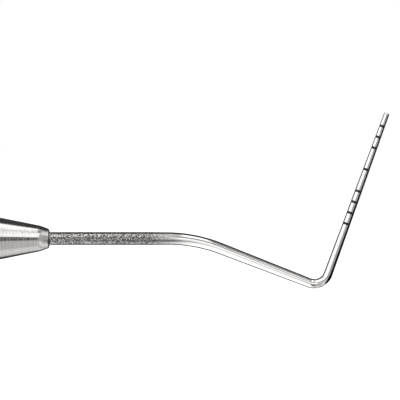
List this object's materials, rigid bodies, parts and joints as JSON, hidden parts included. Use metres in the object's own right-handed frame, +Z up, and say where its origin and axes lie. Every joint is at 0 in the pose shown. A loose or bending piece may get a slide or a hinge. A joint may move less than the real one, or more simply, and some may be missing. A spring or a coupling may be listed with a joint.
{
  "type": "periodontal probe",
  "caption": "Single-ended periodontal probe: slim bent tapered wire tip with black depth rings, cone nose and hollow knurled round steel handle.",
  "frame": {"origin": "middle of the instrument's length, on the surface that the handle lies on", "axes": "+X along the handle towards the tip, +Z up and the way the tip turns, XZ is the plane of the bent wire"},
  "size_m": [0.1614, 0.0094, 0.0157],
  "materials": {
    "wire_steel": "satin near the nose, polished at the bends and tip",
    "mark_black": "black filled groove, matt",
    "braze": "dull braze",
    "nose_steel": "fine turned, satin",
    "handle_steel": "satin, diamond knurled bands"
  },
  "bodies": {
    "root": {"working_end": "wire_steel", "depth_mark_01mm": "mark_black", "depth_mark_02mm": "mark_black", "depth_mark_03mm": "mark_black", "depth_mark_05mm": "mark_black", "depth_mark_07mm": "mark_black", "depth_mark_08mm": "mark_black", "depth_mark_09mm": "mark_black", "depth_mark_10mm": "mark_black", "shank_braze_fillet": "braze", "nose_cone": "nose_steel", "handle_tube": "handle_steel", "rear_plug": "handle_steel"}
  },
  "joints": []
}
